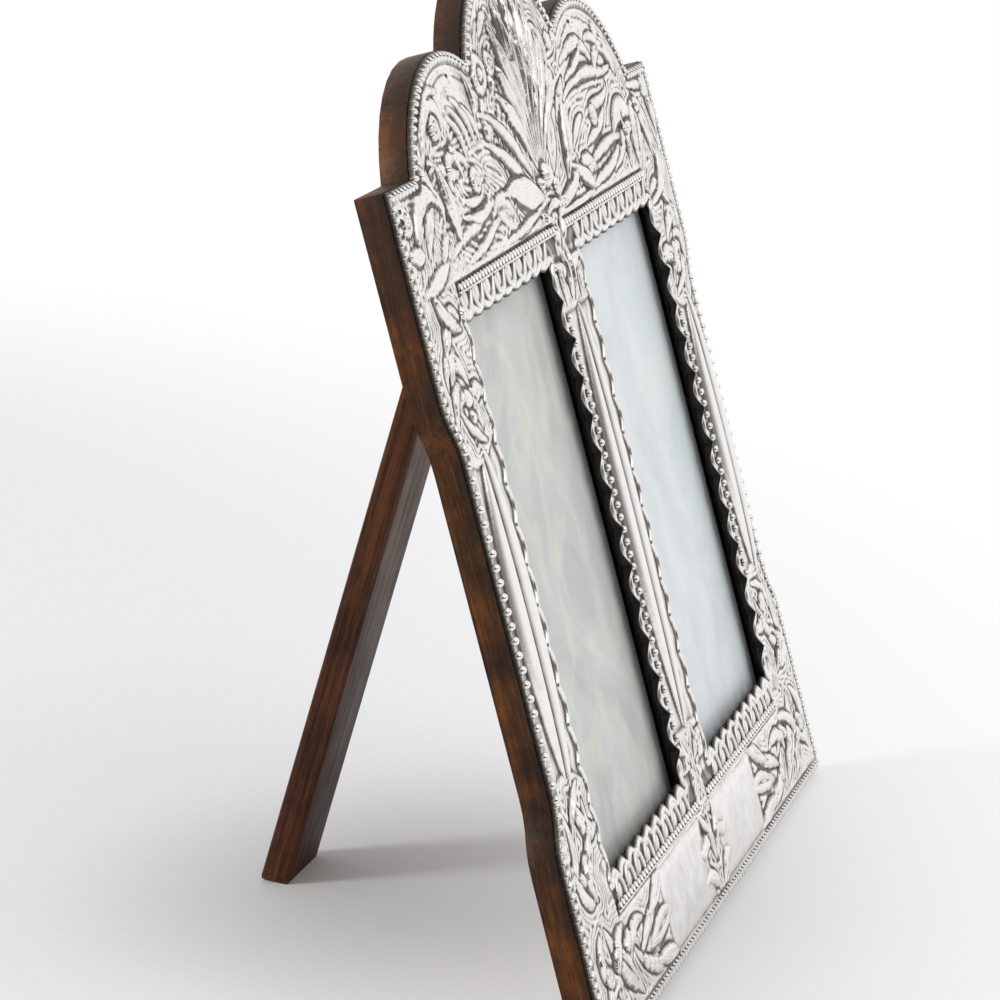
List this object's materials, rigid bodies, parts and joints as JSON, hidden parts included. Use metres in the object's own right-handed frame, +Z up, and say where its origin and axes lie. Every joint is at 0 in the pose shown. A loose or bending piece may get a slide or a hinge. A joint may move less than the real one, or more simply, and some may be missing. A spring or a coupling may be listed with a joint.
{
  "type": "double picture frame",
  "caption": "Free-standing picture frame with two windows: embossed silver sheet on a lobed wooden board, with a hinged wooden strut behind.",
  "frame": {"origin": "middle of the space the standing frame takes up, on the floor", "axes": "+X across the face, +Y from the face to the back, +Z up"},
  "size_m": [0.321, 0.1606, 0.3154],
  "materials": {
    "dark_wood": "dark stained hardwood, worn and waxed",
    "silver": "embossed silver, bright on the high parts and darkened in the recesses",
    "glass": "clear polished sheet",
    "pearly_card": "pale pearly sheen, grey to blue green",
    "plain_wood": "thin planed softwood",
    "brass": "aged brass"
  },
  "bodies": {
    "frame": {"wood_board": "dark_wood", "silver_sheet": "silver", "silver_pin_1": "silver", "silver_pin_2": "silver", "silver_pin_3": "silver", "silver_pin_4": "silver", "silver_pin_5": "silver", "silver_pin_6": "silver", "silver_pin_7": "silver", "silver_pin_8": "silver", "silver_pin_9": "silver", "silver_pin_10": "silver", "left_glass": "glass", "left_insert": "pearly_card", "left_back_panel": "plain_wood", "right_glass": "glass", "right_insert": "pearly_card", "right_back_panel": "plain_wood", "turn_button_left_top_screw": "brass", "turn_button_left_bottom_screw": "brass", "turn_button_right_top_screw": "brass", "turn_button_right_bottom_screw": "brass", "hinge_board_leaf": "brass", "hinge_board_screw_1": "brass", "hinge_board_screw_2": "brass", "hinge_board_screw_3": "brass", "hinge_pin": "brass"},
    "strut_leg": {"strut": "dark_wood", "hinge_strut_leaf": "brass", "hinge_strut_screw_1": "brass", "hinge_strut_screw_2": "brass", "hinge_strut_screw_3": "brass"},
    "turn_button_left_top_body": {"turn_button_left_top": "brass"},
    "turn_button_left_bottom_body": {"turn_button_left_bottom": "brass"},
    "turn_button_right_top_body": {"turn_button_right_top": "brass"},
    "turn_button_right_bottom_body": {"turn_button_right_bottom": "brass"}
  },
  "joints": [
    {"name": "strut_hinge", "type": "hinge", "parent": "frame", "child": "strut_leg", "pos_m": [0, -0.00332, 0.2396], "axis": [1, 0, 0], "range_deg": [-31.4, 0]},
    {"name": "turn_button_left_top_turn", "type": "hinge", "parent": "frame", "child": "turn_button_left_top_body", "pos_m": [-0.068, -0.00911, 0.22758], "axis": [0, 0.9664, -0.2571], "range_deg": [0, 90]},
    {"name": "turn_button_left_bottom_turn", "type": "hinge", "parent": "frame", "child": "turn_button_left_bottom_body", "pos_m": [-0.068, -0.06053, 0.03431], "axis": [0, 0.9664, -0.2571], "range_deg": [0, 90]},
    {"name": "turn_button_right_top_turn", "type": "hinge", "parent": "frame", "child": "turn_button_right_top_body", "pos_m": [0.068, -0.00911, 0.22758], "axis": [0, 0.9664, -0.2571], "range_deg": [0, 90]},
    {"name": "turn_button_right_bottom_turn", "type": "hinge", "parent": "frame", "child": "turn_button_right_bottom_body", "pos_m": [0.068, -0.06053, 0.03431], "axis": [0, 0.9664, -0.2571], "range_deg": [0, 90]}
  ]
}
